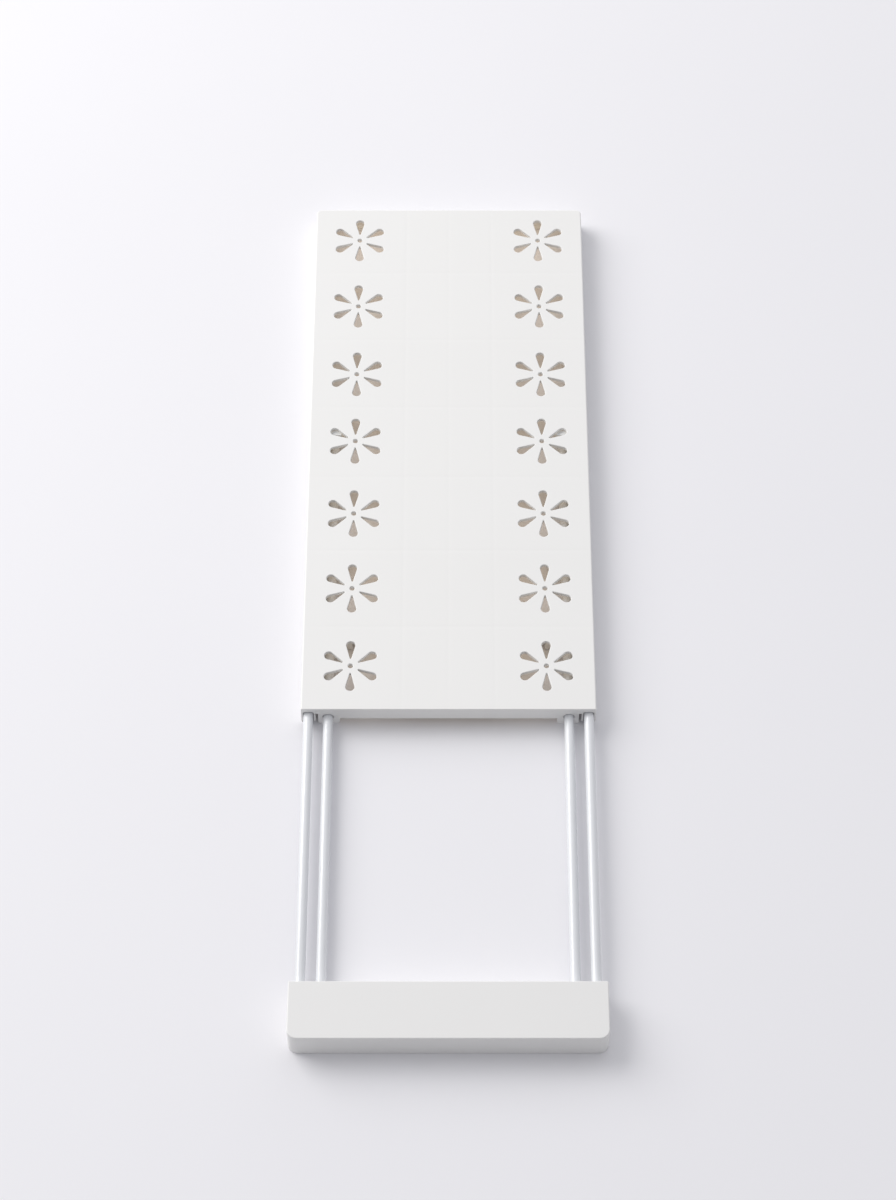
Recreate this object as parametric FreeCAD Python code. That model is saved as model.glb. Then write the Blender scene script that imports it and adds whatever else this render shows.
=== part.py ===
"""Extending tension shelf: a moulded board with flower-shaped drain holes, four
steel rods that slide out from under it, and a moulded end cap on the rods.

Frame: X across the width, +Y towards the board's far end, +Z up.  Z = 0 is the
surface that the board's skirts and the end cap stand on.  X = 0, Y = 0 is the
middle of the whole object at rest, when the rods are drawn out by rest_gap.
All sizes are millimetres.
"""
import FreeCAD, Part
import math
import os

V = FreeCAD.Vector

# Board moulding
board_width = 240.0
board_length = 542.5
board_height = 21.0
plate_thickness = 3.0
skirt_wall = 1.5
far_wall = 2.6
near_wall = 2.6
near_wall_depth = 13.5
far_corner_radius = 4.5
lip_radius = 4.0
top_edge_radius = 1.2
near_edge_radius = 0.5

# Drain holes: two columns of flowers, the far rows and the near rows drawn together a little
flower_rows = 7
far_group_rows = 3
group_closing = 3.6
far_flower_margin = 37.2
near_flower_margin = 42.4
flower_side_margin = 39.7
petal_count = 6
petal_outer_radius = 24.3
petal_wide_radius = 3.75
petal_tip_distance = 7.2
petal_tip_radius = 0.6
flower_eye_radius = 2.1
hole_edge_radius = 0.6

# Ribs under the board
rib_thickness = 1.2
rib_depth = 12.0
long_rib_x = 38.0
cross_rib_clear_of_rod = 2.5
divider_thickness = 1.5
divider_floor_gap = 3.0

# Rods
rod_diameter = 8.0
rod_wall = 0.8
rod_side_play = 0.5
rod_gap = 8.0
outer_rod_headroom = 2.0
inner_rod_headroom = 5.0
rod_play = 0.6
rod_headroom = 0.3

# Guides at the board's near end
guide_length = 16.0
channel_wall = 1.1
slot_width = 2.2
slot_drop = 7.0
boss_inner_wall = 5.6
boss_corner_radius = 3.0
channel_corner_radius = 3.0

# End cap
cap_overhang = 4.8
cap_depth = 49.0
cap_rise = 4.0
cap_wall = 2.2
cap_roof = 2.5
cap_front_radius = 8.0
cap_back_radius = 1.0
cap_top_radius = 0.9
cap_foot_radius = 0.8
cap_inner_back_radius = 0.5
rod_end_gap = 9.0
rod_seat_play = 0.05
seat_side_wall = 2.5
seat_floor_wall = 1.4
seat_head_gap = 0.1
seat_end_wall = 2.0
seat_end_play = 0.5
cap_rib_x = 40.0

# Cap cover
cover_thickness = 1.8
cover_recess = 0.4
cover_clearance = 0.3
cover_post_radius = 3.6
cover_post_x = 70.0
inner_cover_post_x = 19.0

# Rest position and the gap that stays between board and cap when shut
rest_gap = 250.0
shut_gap = 3.0

# Rod stops
stop_length = 5.0
stop_end_room = 3.4
stop_plug_length = 12.0
stop_plug_play = 0.05
stop_corner_radius = 1.5
stop_clearance = 0.4
stop_overhang = 1.4

# Guide saddles
saddle_length = 16.0
saddle_wall = 2.75
saddle_inner_wall = 9.5
saddle_corner_radius = 3.0
saddle_play = 0.35
post_radius = 2.6
post_rod_gap = 0.9

# Self-tapping screws, used in the saddles, cover and rod seats
screw_radius = 1.25
screw_hole_play = 0.05
screw_head_radius = 2.7
screw_head_height = 1.3
screw_rim_radius = 0.58
screw_point_radius = 0.2
screw_head_play = 0.25
screw_bite = 7.0
pilot_depth = 7.5
rod_screw_bite = 2.4
cross_slot_width = 0.8
cross_slot_depth = 0.7
cross_slot_reach = 1.5

# Rod lock: thumbscrew, nut and shoe, one on each side
lock_pitch = 1.0
lock_turns = 2.0
stem_radius = 2.0
stem_play = 0.06
stem_hole_play = 0.5
stem_tip_radius = 1.5
stem_tip_length = 2.5
shoe_length = 12.0
shoe_depth = 6.0
shoe_wrap = 0.6
shoe_rod_gap = 0.3
shoe_guide_gap = 0.3
shoe_back_room = 1.0
shoe_guide_wall = 1.5
shoe_guide_lap = 3.0
bracket_thickness = 5.0
bracket_length = 18.0
bracket_floor_gap = 1.5
nut_across_flats = 7.0
nut_thickness = 3.2
nut_play = 0.05
knob_room = 1.6
knob_thickness = 11.0
knob_gap = 3.2
knob_flutes = 10
knob_flute_radius = 1.4
knob_edge_radius = 0.8

# Sizes and places worked out from the sizes above
overall_length = board_length + rest_gap + cap_depth
y_far = overall_length / 2
y_near = y_far - board_length
y_cap_back = y_near - rest_gap
y_cap_front = y_cap_back - cap_depth
rod_radius = rod_diameter / 2
cap_width = board_width + cap_overhang
cap_height = board_height + cap_rise
z_plate = board_height - plate_thickness
z_outer_rod = z_plate - outer_rod_headroom - rod_radius
cover_top = cover_recess + cover_thickness
lowest_inner_rod = cover_top + seat_head_gap + screw_head_height + seat_floor_wall + rod_radius
z_inner_rod = max(z_plate - inner_rod_headroom - rod_radius, lowest_inner_rod)
x_skirt = board_width / 2 - skirt_wall
outer_rod_x = x_skirt - rod_side_play - rod_radius
inner_rod_x = outer_rod_x - rod_diameter - rod_gap
x_channel = outer_rod_x - rod_radius - rod_play
x_slot = x_channel - channel_wall
x_boss = x_slot - slot_width
x_boss_inner = inner_rod_x - rod_radius - boss_inner_wall
x_divider = x_boss - divider_thickness / 2
x_rib_end = inner_rod_x - rod_radius - cross_rib_clear_of_rod
rod_seat_depth = cap_depth - rod_end_gap
y_rod_start = y_cap_back - rod_seat_depth
seat_block_floor = z_inner_rod - rod_radius - seat_floor_wall
rod_length = board_length - far_wall - stop_end_room - stop_length + shut_gap + rod_seat_depth
y_rod_end = y_rod_start + rod_length
flower_column_x = board_width / 2 - flower_side_margin
flower_span = board_length - far_flower_margin - near_flower_margin
flower_pitch = (flower_span + group_closing) / (flower_rows - 1)
first_row_y = y_far - far_flower_margin
row_places = [first_row_y - flower_pitch * row + group_closing * (row >= far_group_rows)
              for row in range(flower_rows)]
between_rows = [(a + b) / 2 for a, b in zip(row_places, row_places[1:])]
lock_y = between_rows[-1]
saddle_y = between_rows[-2]
saddle_top = z_inner_rod
saddle_floor_gap = z_inner_rod - rod_radius - saddle_play - saddle_wall
x_post = (outer_rod_x + inner_rod_x) / 2
x_saddle_inner = inner_rod_x - rod_radius - saddle_inner_wall
x_saddle_screw = inner_rod_x - rod_radius - post_radius - post_rod_gap
x_shoe_face = inner_rod_x - shoe_rod_gap
x_shoe_back = inner_rod_x - rod_radius - shoe_rod_gap - shoe_depth
lock_travel = lock_pitch * lock_turns
x_bracket = x_shoe_back - lock_travel - shoe_back_room
shoe_height = rod_diameter
knob_radius = min(z_inner_rod, z_plate - z_inner_rod) - knob_room
x_knob = x_bracket - bracket_thickness - knob_gap
cap_y = (y_cap_front + y_cap_back) / 2
slide_out = y_rod_end - (saddle_y + saddle_length / 2) - saddle_play
slide_in = rest_gap - shut_gap


def box(x0, x1, y0, y1, z0, z1):
    """Block between two corners."""
    return Part.makeBox(x1 - x0, y1 - y0, z1 - z0, V(x0, y0, z0))


def bar_y(x, z, radius, y0, y1):
    """Round bar along Y."""
    return Part.makeCylinder(radius, y1 - y0, V(x, y0, z), V(0, 1, 0))


def bar_x(y, z, radius, x0, x1):
    """Round bar along X."""
    return Part.makeCylinder(radius, x1 - x0, V(x0, y, z), V(1, 0, 0))


def bar_z(x, y, radius, z0, z1):
    """Round bar along Z."""
    return Part.makeCylinder(radius, z1 - z0, V(x, y, z0), V(0, 0, 1))


def on_side(shape, side):
    """The right-hand shape, or its mirror image for the left-hand side."""
    if side > 0:
        return shape
    return shape.mirror(V(0, 0, 0), V(1, 0, 0))


def both_sides(shape):
    """A right-hand shape together with its mirror image."""
    return [shape, on_side(shape, -1)]


def edges_where(shape, test):
    """Edges whose middle point passes a test."""
    picked = []
    for edge in shape.Edges:
        middle = edge.valueAt((edge.FirstParameter + edge.LastParameter) / 2)
        if test(middle, edge):
            picked.append(edge)
    return picked


def along(edge, axis):
    """True for a straight edge that runs along one axis."""
    ends = [v.Point for v in edge.Vertexes]
    if len(ends) < 2 or edge.Curve.TypeId != "Part::GeomLine":
        return False
    run = ends[1] - ends[0]
    return abs(run.dot(axis)) > 0.999 * run.Length


def rounded_block(x0, x1, y0, y1, z0, z1, front_radius, back_radius):
    """Block whose four upright corners are rounded: front is low Y, back is high Y."""
    block = box(x0, x1, y0, y1, z0, z1)
    middle = (y0 + y1) / 2
    for radius, is_back in ((front_radius, False), (back_radius, True)):
        if radius > 0:
            corners = edges_where(
                block,
                lambda m, e: along(e, V(0, 0, 1)) and (m.y > middle) == is_back,
            )
            block = block.makeFillet(radius, corners)
    return block


def screw(x, y, z_head, length):
    """Self-tapping pan-head screw driven upwards; z_head is the face that the head bears on."""
    head = bar_z(x, y, screw_head_radius, z_head - screw_head_height, z_head)
    rim = edges_where(head, lambda m, e: abs(m.z - (z_head - screw_head_height)) < 1e-6)
    head = head.makeFillet(screw_rim_radius, rim)
    shank = bar_z(x, y, screw_radius, z_head, z_head + length - screw_radius)
    point_place = V(x, y, z_head + length - screw_radius)
    point = Part.makeCone(screw_radius, screw_point_radius, screw_radius, point_place)
    body = head.fuse([shank, point])
    z_low = z_head - screw_head_height
    half = cross_slot_width / 2
    for dx, dy in ((cross_slot_reach, half), (half, cross_slot_reach)):
        body = body.cut(box(x - dx, x + dx, y - dy, y + dy, z_low - 1, z_low + cross_slot_depth))
    return body.removeSplitter()


def screw_hole(x, y, z0, z1):
    """Round hole that a screw's shank stands in."""
    return bar_z(x, y, screw_radius + screw_hole_play, z0, z1)


def teardrop(z0, z1):
    """One petal's prism, pointing along +X: two circles joined by their outer tangents."""
    wide_x = petal_outer_radius - petal_wide_radius
    tip_x = petal_tip_distance + petal_tip_radius
    lean = math.asin((petal_wide_radius - petal_tip_radius) / (wide_x - tip_x))
    side = V(-math.sin(lean), math.cos(lean), 0)
    other = V(-math.sin(lean), -math.cos(lean), 0)
    wide = V(wide_x, 0, z0)
    tip = V(tip_x, 0, z0)
    upper = [tip + side * petal_tip_radius, wide + side * petal_wide_radius]
    lower = [wide + other * petal_wide_radius, tip + other * petal_tip_radius]
    outer_arc = Part.Arc(upper[1], wide + V(petal_wide_radius, 0, 0), lower[0])
    inner_arc = Part.Arc(lower[1], tip - V(petal_tip_radius, 0, 0), upper[0])
    outline = Part.Wire([
        Part.LineSegment(upper[0], upper[1]).toShape(),
        outer_arc.toShape(),
        Part.LineSegment(lower[0], lower[1]).toShape(),
        inner_arc.toShape(),
    ])
    return Part.Face(outline).extrude(V(0, 0, z1 - z0))


def flower_cutters():
    """All petals and eyes of both columns, as separate prisms through the plate."""
    low = z_plate - 1
    high = board_height + 1
    petal = teardrop(low, high)
    cutters = []
    for y in row_places:
        for x in (-flower_column_x, flower_column_x):
            cutters.append(bar_z(x, y, flower_eye_radius, low, high))
            for number in range(petal_count):
                turned = petal.copy()
                turned.rotate(V(0, 0, 0), V(0, 0, 1), 90 + number * 360 / petal_count)
                turned.translate(V(x, y, 0))
                cutters.append(turned)
    return cutters


def board_shell():
    """Plate with skirts on both long sides and a wall at each end, open underneath."""
    half = board_width / 2
    solid = rounded_block(-half, half, y_near, y_far, 0, board_height, 0, far_corner_radius)

    def at_height(z):
        return lambda m, e: abs(m.z - z) < 1e-6 and m.y > y_near + 1e-6

    solid = solid.makeFillet(lip_radius, edges_where(solid, at_height(0)))
    solid = solid.makeFillet(top_edge_radius, edges_where(solid, at_height(board_height)))
    hollow = rounded_block(
        -x_skirt, x_skirt, y_near - 1, y_far - far_wall, 0, z_plate + lip_radius,
        0, far_corner_radius - skirt_wall,
    )
    inner_lip = lip_radius - skirt_wall
    hollow.translate(V(0, 0, skirt_wall))
    low_edges = edges_where(hollow, lambda m, e: abs(m.z - skirt_wall) < 1e-6 and m.y > y_near)
    hollow = hollow.makeFillet(inner_lip, low_edges)
    hollow = hollow.common(box(-half, half, y_near - 1, y_far, 0, z_plate))
    mouth_half = x_skirt - inner_lip
    mouth = box(-mouth_half, mouth_half, y_near - 1, y_far - far_wall - inner_lip, -1, z_plate)
    return solid.cut([hollow, mouth])


def near_end():
    """Near wall with a boss round each inner rod and an arched channel over each outer rod."""
    wall_low = board_height - near_wall_depth
    wall = box(-x_boss_inner, x_boss_inner, y_near, y_near + near_wall, wall_low, z_plate)
    pieces = [wall]
    slot_top = board_height - slot_drop
    channel_top = z_outer_rod + rod_radius + rod_play + rod_headroom
    y_guide = y_near + guide_length
    boss = box(x_boss_inner, x_boss, y_near, y_guide, 0, z_plate)
    corners = edges_where(boss, lambda m, e: along(e, V(0, 1, 0)) and m.z < 1)
    boss = boss.makeFillet(boss_corner_radius, corners)
    hole_z = z_inner_rod + rod_headroom
    boss = boss.cut(bar_y(inner_rod_x, hole_z, rod_radius + rod_play, y_near - 1, y_guide + 1))
    bridge = box(x_boss, x_slot, y_near, y_near + near_wall, slot_top, z_plate)
    channel = box(x_slot, x_skirt, y_near, y_guide, lip_radius, z_plate)
    opening = box(x_channel, x_skirt, y_near - 1, y_guide + 1, 0, channel_top)
    arch = edges_where(opening, lambda m, e: along(e, V(0, 1, 0)) and m.z > channel_top - 1)
    opening = opening.makeFillet(channel_corner_radius, arch)
    for piece in (boss, bridge, channel.cut(opening)):
        pieces += both_sides(piece)
    return pieces


def ribs():
    """Long ribs, the dividers between inner and outer rods, and the cross ribs."""
    low = z_plate - rib_depth
    half = rib_thickness / 2
    y0 = y_near + near_wall
    y1 = y_far - far_wall
    pieces = []
    for x in (-long_rib_x, 0.0, long_rib_x):
        pieces.append(box(x - half, x + half, y0, y1, low, z_plate))
    divider_half = divider_thickness / 2
    divider = box(
        x_divider - divider_half, x_divider + divider_half, y0, y1,
        divider_floor_gap, z_plate,
    )
    saddle_reach = saddle_length / 2 + stop_clearance
    break_at_saddle = box(
        x_divider - divider_thickness, x_divider + divider_thickness,
        saddle_y - saddle_reach, saddle_y + saddle_reach, 0, saddle_top,
    )
    pieces += both_sides(divider.cut(break_at_saddle))
    for y in between_rows:
        reach = x_rib_end if y > saddle_y + 1 else long_rib_x
        pieces.append(box(-reach, reach, y - half, y + half, low, z_plate))
    return pieces


def saddle_posts():
    """Posts that the guide saddles are screwed to, with their pilot holes."""
    pieces = []
    for x in (x_post, x_saddle_screw):
        post = bar_z(x, saddle_y, post_radius, saddle_top, z_plate)
        pieces += both_sides(post)
    return pieces


def lock_bracket():
    """Upright tab that holds the lock nut, and the two cheeks that guide the shoe."""
    y0 = lock_y - bracket_length / 2
    y1 = lock_y + bracket_length / 2
    tab = box(x_bracket - bracket_thickness, x_bracket, y0, y1, bracket_floor_gap, z_plate)
    reach = x_shoe_back + shoe_guide_lap
    pieces = [tab]
    for sign in (-1, 1):
        inner = lock_y + sign * (shoe_length / 2 + shoe_guide_gap)
        outer = inner + sign * shoe_guide_wall
        low = z_inner_rod - shoe_height / 2
        pieces.append(box(x_bracket, reach, min(inner, outer), max(inner, outer), low, z_plate))
    return pieces


def nut_prism(x0, x1, across_flats):
    """Hexagonal prism along X on the lock's axis."""
    corner = across_flats / math.sqrt(3)
    points = []
    for number in range(7):
        angle = math.radians(30 + 60 * number)
        points.append(V(x0, lock_y + corner * math.cos(angle), z_inner_rod + corner * math.sin(angle)))
    return Part.Face(Part.makePolygon(points)).extrude(V(x1 - x0, 0, 0))


def shelf_board():
    """The whole board moulding."""
    board = board_shell().fuse(near_end() + ribs() + saddle_posts())
    bracket = lock_bracket()
    board = board.fuse(bracket + [on_side(piece, -1) for piece in bracket])
    cuts = []
    for x in (x_post, x_saddle_screw):
        cuts += both_sides(screw_hole(x, saddle_y, saddle_top - 1, saddle_top + pilot_depth))
    pocket = nut_prism(x_bracket - nut_thickness, x_bracket + 1, nut_across_flats + 2 * nut_play)
    stem_hole = bar_x(
        lock_y, z_inner_rod, stem_radius + stem_hole_play, x_bracket - bracket_thickness - 1, x_bracket + 1,
    )
    cuts += both_sides(pocket) + both_sides(stem_hole)
    board = board.cut(cuts).removeSplitter()
    near_edge = edges_where(
        board,
        lambda m, e: abs(m.z - board_height) < 1e-6 and abs(m.y - y_near) < 1e-6,
    )
    board = board.makeFillet(near_edge_radius, near_edge)
    board = board.cut(flower_cutters())
    inner_x = board_width / 2 - top_edge_radius - 1
    rims = edges_where(
        board,
        lambda m, e: abs(m.z - board_height) < 1e-6
        and abs(m.x) < inner_x
        and y_near + 2 < m.y < y_far - top_edge_radius - 1,
    )
    return board.makeFillet(hole_edge_radius, rims)


def rod(x, z):
    """Steel tube, open at both ends, drilled underneath for its fixing screw."""
    tube = bar_y(x, z, rod_radius, y_rod_start, y_rod_end)
    bore = bar_y(x, z, rod_radius - rod_wall, y_rod_start - 1, y_rod_end + 1)
    drilled = screw_hole(x, rod_screw_y(), z - rod_radius - 1, z)
    return tube.cut([bore, drilled])


def rod_screw_y():
    """Place of the rod fixing screws along Y, half way down the seats."""
    return y_cap_back - rod_seat_depth / 2


def rod_stop(x, z, x0, x1):
    """Plug in the rod's inner end, with a square head that rides in the rod's channel."""
    z0 = z - rod_radius - stop_overhang
    plug_radius = rod_radius - rod_wall - stop_plug_play
    plug = bar_y(x, z, plug_radius, y_rod_end - stop_plug_length, y_rod_end)
    head = box(x0, x1, y_rod_end, y_rod_end + stop_length, z0, z_plate - stop_clearance)
    corners = edges_where(head, lambda m, e: along(e, V(0, 1, 0)))
    head = head.makeFillet(stop_corner_radius, corners)
    return plug.fuse(head).removeSplitter()


def outer_stop():
    x0 = x_divider + divider_thickness / 2 + stop_clearance
    return rod_stop(outer_rod_x, z_outer_rod, x0, x_skirt - stop_clearance)


def inner_stop():
    x0 = x_rib_end + stop_clearance
    x1 = x_divider - divider_thickness / 2 - stop_clearance
    return rod_stop(inner_rod_x, z_inner_rod, x0, x1)


def guide_saddle():
    """Cradle under both rods of one side, screwed up to the board's posts."""
    y0 = saddle_y - saddle_length / 2
    y1 = saddle_y + saddle_length / 2
    block = box(x_saddle_inner, x_skirt - stop_clearance, y0, y1, saddle_floor_gap, saddle_top)
    corners = edges_where(block, lambda m, e: along(e, V(0, 1, 0)) and m.z < saddle_top - 1)
    block = block.makeFillet(saddle_corner_radius, corners)
    cuts = []
    for x, z in ((outer_rod_x, z_outer_rod), (inner_rod_x, z_inner_rod)):
        cuts.append(bar_y(x, z, rod_radius + saddle_play, y0 - 1, y1 + 1))
    for x in (x_post, x_saddle_screw):
        cuts.append(screw_hole(x, saddle_y, 0, saddle_top + 1))
        head_radius = screw_head_radius + screw_head_play
        cuts.append(bar_z(x, saddle_y, head_radius, 0, saddle_floor_gap + screw_head_height))
    return block.cut(cuts).removeSplitter()


def saddle_screws():
    """Two screws in each saddle."""
    bearing = saddle_floor_gap + screw_head_height
    length = saddle_top + screw_bite - bearing
    pieces = []
    for x in (x_post, x_saddle_screw):
        pieces += both_sides(screw(x, saddle_y, bearing, length))
    return Part.makeCompound(pieces)


def lock_nut():
    """Hexagon nut held in the bracket's pocket."""
    nut = nut_prism(x_bracket - nut_thickness, x_bracket, nut_across_flats)
    bore = bar_x(lock_y, z_inner_rod, stem_radius + stem_play, x_bracket - nut_thickness - 1, x_bracket + 1)
    return nut.cut(bore)


def lock_shoe():
    """Block hollowed to the rod's curve, pushed against the inner rod by the thumbscrew."""
    half_y = shoe_length / 2
    half_z = shoe_height / 2
    x1 = inner_rod_x - rod_radius * shoe_wrap
    z0 = z_inner_rod - half_z
    z1 = z_inner_rod + half_z
    shoe = box(x_shoe_back, x1, lock_y - half_y, lock_y + half_y, z0, z1)
    hollow_radius = rod_radius + shoe_rod_gap
    hollow = bar_y(inner_rod_x, z_inner_rod, hollow_radius, lock_y - half_y - 1, lock_y + half_y + 1)
    socket = bar_x(
        lock_y, z_inner_rod, stem_tip_radius + stem_play, x_shoe_back - 1, x_shoe_back + stem_tip_length,
    )
    return shoe.cut([hollow, socket])


def lock_knob():
    """Thumbscrew: fluted knob moulded on a steel stem with a turned-down tip."""
    tip_end = x_shoe_back + stem_tip_length - stem_play
    shoulder = x_shoe_back - stem_play
    stem = bar_x(lock_y, z_inner_rod, stem_radius, x_knob - knob_thickness / 2, shoulder)
    tip = bar_x(lock_y, z_inner_rod, stem_tip_radius, shoulder, tip_end)
    knob = bar_x(lock_y, z_inner_rod, knob_radius, x_knob - knob_thickness, x_knob)
    knob = knob.makeFillet(knob_edge_radius, edges_where(knob, lambda m, e: not along(e, V(1, 0, 0))))
    flutes = []
    for number in range(knob_flutes):
        angle = 2 * math.pi * number / knob_flutes
        y = lock_y + knob_radius * math.cos(angle)
        z = z_inner_rod + knob_radius * math.sin(angle)
        flutes.append(bar_x(y, z, knob_flute_radius, x_knob - knob_thickness - 1, x_knob + 1))
    return knob.cut(flutes).fuse([stem, tip]).removeSplitter()


def cap_shell():
    """Cap moulding, open underneath, with seats for the rods and posts for the cover."""
    half = cap_width / 2
    solid = rounded_block(
        -half, half, y_cap_front, y_cap_back, 0, cap_height, cap_front_radius, cap_back_radius,
    )
    top = edges_where(solid, lambda m, e: abs(m.z - cap_height) < 1e-6)
    solid = solid.makeFillet(cap_top_radius, top)
    solid = solid.makeFillet(cap_foot_radius, edges_where(solid, lambda m, e: abs(m.z) < 1e-6))
    x_in = half - cap_wall
    y0 = y_cap_front + cap_wall
    y1 = y_cap_back - cap_wall
    roof = cap_height - cap_roof
    hollow = rounded_block(
        -x_in, x_in, y0, y1, -1, roof, cap_front_radius - cap_wall, cap_inner_back_radius,
    )
    pieces = []
    y_seat = y_rod_start - seat_end_wall
    seat = box(inner_rod_x - rod_radius - seat_side_wall, x_in, y_seat, y1, seat_block_floor, roof)
    seat = seat.common(hollow)
    pieces += both_sides(seat)
    for x in (-cap_rib_x, 0.0, cap_rib_x):
        pieces.append(box(x - rib_thickness / 2, x + rib_thickness / 2, y0, y1, cover_top + 1, roof))
    for x in (cover_post_x, inner_cover_post_x):
        pieces += both_sides(bar_z(x, cap_y, cover_post_radius, cover_top, roof))
    shell = solid.cut(hollow).fuse(pieces)
    cuts = []
    for x, z in ((outer_rod_x, z_outer_rod), (inner_rod_x, z_inner_rod)):
        seat_radius = rod_radius + rod_seat_play
        cuts += both_sides(bar_y(x, z, seat_radius, y_rod_start - seat_end_play, y_cap_back + 1))
        cuts += both_sides(screw_hole(x, rod_screw_y(), 0, z))
    for x in (cover_post_x, inner_cover_post_x):
        cuts += both_sides(screw_hole(x, cap_y, 0, cover_top + pilot_depth))
    return shell.cut(cuts).removeSplitter()


def cap_cover():
    """Flat cover let into the underside of the cap."""
    x_in = cap_width / 2 - cap_wall - cover_clearance
    y0 = y_cap_front + cap_wall + cover_clearance
    y1 = y_cap_back - cap_wall - cover_clearance
    radius = cap_front_radius - cap_wall - cover_clearance
    plate = rounded_block(
        -x_in, x_in, y0, y1, cover_recess, cover_top, radius, cap_inner_back_radius,
    )
    cuts = []
    for x in (cover_post_x, inner_cover_post_x):
        cuts += both_sides(screw_hole(x, cap_y, 0, cover_top + 1))
        head_radius = screw_head_radius + screw_head_play
        head = bar_z(x, cap_y, head_radius, 0, cover_recess + screw_head_height)
        cuts += both_sides(head)
    return plate.cut(cuts)


def cover_screws():
    """Four screws that hold the cover to the cap's posts."""
    bearing = cover_recess + screw_head_height
    length = cover_top + screw_bite - bearing
    pieces = []
    for x in (cover_post_x, inner_cover_post_x):
        pieces += both_sides(screw(x, cap_y, bearing, length))
    return Part.makeCompound(pieces)


def rod_screws():
    """One screw through each seat into the rod's lower wall, under the cover."""
    pieces = []
    for x, z in ((outer_rod_x, z_outer_rod), (inner_rod_x, z_inner_rod)):
        length = z - rod_radius + rod_screw_bite - seat_block_floor
        pieces += both_sides(screw(x, rod_screw_y(), seat_block_floor, length))
    return Part.makeCompound(pieces)


def export(name, shape):
    """Write one node as parts/NAME.step."""
    print(name, "solids", len(shape.Solids), "valid", shape.isValid(), "volume", round(shape.Volume, 1))
    shape.exportStep(os.path.join("parts", name + ".step"))


def main():
    os.makedirs("parts", exist_ok=True)
    export("shelf_board", shelf_board())
    for name, side in (("left", -1), ("right", 1)):
        export(name + "_outer_rod", on_side(rod(outer_rod_x, z_outer_rod), side))
        export(name + "_inner_rod", on_side(rod(inner_rod_x, z_inner_rod), side))
        export(name + "_outer_rod_stop", on_side(outer_stop(), side))
        export(name + "_inner_rod_stop", on_side(inner_stop(), side))
        export(name + "_guide_saddle", on_side(guide_saddle(), side))
        export(name + "_lock_nut", on_side(lock_nut(), side))
        export(name + "_lock_shoe", on_side(lock_shoe(), side))
        export(name + "_lock_knob", on_side(lock_knob(), side))
    export("guide_saddle_screws", saddle_screws())
    export("end_cap_shell", cap_shell())
    export("end_cap_cover", cap_cover())
    export("cap_cover_screws", cover_screws())
    export("rod_fixing_screws", rod_screws())
    print("overall length at rest", overall_length)
    print("slide outwards", slide_out, "inwards", slide_in)


main()
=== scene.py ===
import math

import bmesh
import bpy
import numpy as np
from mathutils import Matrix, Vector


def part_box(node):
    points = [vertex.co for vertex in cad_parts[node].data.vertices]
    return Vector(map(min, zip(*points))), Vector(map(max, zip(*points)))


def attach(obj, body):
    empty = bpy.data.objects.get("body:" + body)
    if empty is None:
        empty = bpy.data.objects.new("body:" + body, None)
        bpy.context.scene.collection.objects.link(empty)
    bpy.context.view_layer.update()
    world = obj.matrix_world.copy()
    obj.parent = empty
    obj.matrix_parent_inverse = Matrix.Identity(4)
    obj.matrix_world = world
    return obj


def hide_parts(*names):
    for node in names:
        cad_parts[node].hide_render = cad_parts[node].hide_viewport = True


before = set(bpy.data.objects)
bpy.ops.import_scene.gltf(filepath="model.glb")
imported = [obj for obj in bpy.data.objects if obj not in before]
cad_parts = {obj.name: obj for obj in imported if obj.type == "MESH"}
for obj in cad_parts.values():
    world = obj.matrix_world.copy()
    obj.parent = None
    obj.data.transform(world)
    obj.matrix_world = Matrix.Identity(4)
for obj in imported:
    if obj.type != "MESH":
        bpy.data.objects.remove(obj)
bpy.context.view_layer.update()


# ---------------------------------------------------------------- bench and light
# The shelf lies on a sheet of pale lilac-white card.  It is seen from above its near
# end, under one broad window light from the far left and a soft pale room.
# The card, the light and the camera aren't part of the shelf.
def node(tree, kind, inputs=None, **settings):
    """One shader node: settings are its own options, and inputs maps a socket's name or number
    to a value or to the output that feeds it."""
    made = tree.nodes.new("ShaderNode" + kind)
    for option, value in settings.items():
        setattr(made, option, value)
    for key, value in (inputs or {}).items():
        if isinstance(value, bpy.types.NodeSocket):
            tree.links.new(value, made.inputs[key])
        else:
            made.inputs[key].default_value = value
    return made


def card_material():
    """Pale card: a fine paper tooth and a very faint large mottle.  Its back can be seen through."""
    card = bpy.data.materials.new("pale_card")
    card.use_nodes = True
    tree = card.node_tree
    place = node(tree, "TexCoord").outputs["Object"]
    mottle = node(tree, "TexNoise", {"Vector": place, "Scale": 3.0, "Detail": 3.0})
    tooth = node(tree, "TexNoise", {"Vector": place, "Scale": 900.0, "Detail": 2.0})
    tint = node(tree, "Mix", {0: mottle.outputs["Fac"]}, data_type="RGBA")
    tint.inputs["A"].default_value = (0.845, 0.84, 0.868, 1)
    tint.inputs["B"].default_value = (0.865, 0.86, 0.886, 1)
    bump = node(tree, "Bump", {"Height": tooth.outputs["Fac"], "Distance": 0.00004, "Strength": 0.5})
    shader = tree.nodes["Principled BSDF"]
    tree.links.new(tint.outputs["Result"], shader.inputs["Base Color"])
    tree.links.new(bump.outputs["Normal"], shader.inputs["Normal"])
    shader.inputs["Roughness"].default_value = 0.9
    shader.inputs["Specular IOR Level"].default_value = 0.25
    below = node(tree, "NewGeometry").outputs["Backfacing"]
    clear = node(tree, "BsdfTransparent")
    sheet = node(tree, "MixShader", {0: below, 1: shader.outputs[0], 2: clear.outputs[0]})
    tree.links.new(sheet.outputs[0], tree.nodes["Material Output"].inputs["Surface"])
    return card


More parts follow.
